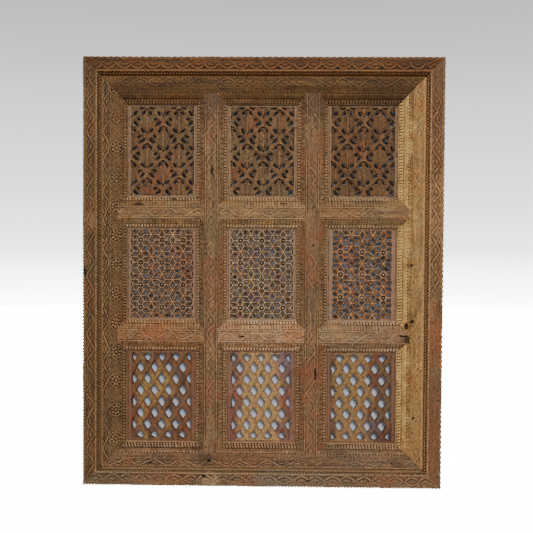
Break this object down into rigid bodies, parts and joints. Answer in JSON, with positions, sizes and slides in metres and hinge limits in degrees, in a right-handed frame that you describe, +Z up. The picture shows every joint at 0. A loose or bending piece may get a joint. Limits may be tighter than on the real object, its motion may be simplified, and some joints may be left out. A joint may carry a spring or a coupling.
{
  "type": "carved wall panel",
  "caption": "Carved timber wall panel: a mitred double frame and a grid of bars hold pierced boards of leaf, star and diamond lattice, with domed studs on the star boards.",
  "frame": {"origin": "on the flat back of the outer top rail, midway along it and 30 mm below its upper edge, where the panel is fixed to a wall", "axes": "+X to the right as seen from the front, +Y backwards into the wall, +Z up; the carved face looks along -Y"},
  "size_m": [1.06, 0.07, 1.265],
  "materials": {
    "outer_wood": "old reddish-brown hardwood, hand-carved, worn and waxed by handling, dark dirt in the cuts",
    "inner_wood": "old olive-brown hardwood, hand-carved, worn on the high parts",
    "golden_wood": "old golden-brown hardwood with open straight grain, hand-carved, dry and faded",
    "upright_wood": "old mid-brown hardwood, hand-carved, worn",
    "board_wood": "old thin boards with paler strips of sapwood, pierced, greyed at the margins",
    "stud_metal": "dull tarnished domed studs"
  },
  "bodies": {
    "root": {"outer_top_rail": "outer_wood", "outer_bottom_rail": "outer_wood", "outer_left_stile": "outer_wood", "outer_right_stile": "outer_wood", "inner_top_rail": "inner_wood", "inner_bottom_rail": "inner_wood", "inner_left_stile": "inner_wood", "inner_right_stile": "golden_wood", "upright_bar_left": "upright_wood", "upright_bar_right": "upright_wood", "cross_bar_upper_left": "golden_wood", "cross_bar_upper_middle": "golden_wood", "cross_bar_upper_right": "golden_wood", "cross_bar_lower_left": "golden_wood", "cross_bar_lower_middle": "golden_wood", "cross_bar_lower_right": "golden_wood", "leaf_board_left": "board_wood", "leaf_board_middle": "board_wood", "leaf_board_right": "board_wood", "star_board_left": "board_wood", "star_board_middle": "board_wood", "star_board_right": "board_wood", "diamond_board_left": "board_wood", "diamond_board_middle": "board_wood", "diamond_board_right": "board_wood", "stud_left_01": "stud_metal", "stud_left_02": "stud_metal", "stud_left_03": "stud_metal", "stud_left_04": "stud_metal", "stud_left_05": "stud_metal", "stud_left_06": "stud_metal", "stud_left_07": "stud_metal", "stud_left_08": "stud_metal", "stud_left_09": "stud_metal", "stud_left_10": "stud_metal", "stud_left_11": "stud_metal", "stud_left_12": "stud_metal", "stud_middle_01": "stud_metal", "stud_middle_02": "stud_metal", "stud_middle_03": "stud_metal", "stud_middle_04": "stud_metal", "stud_middle_05": "stud_metal", "stud_middle_06": "stud_metal", "stud_middle_07": "stud_metal", "stud_middle_08": "stud_metal", "stud_middle_09": "stud_metal", "stud_middle_10": "stud_metal", "stud_middle_11": "stud_metal", "stud_middle_12": "stud_metal", "stud_right_01": "stud_metal", "stud_right_02": "stud_metal", "stud_right_03": "stud_metal", "stud_right_04": "stud_metal", "stud_right_05": "stud_metal", "stud_right_06": "stud_metal", "stud_right_07": "stud_metal"}
  },
  "joints": []
}
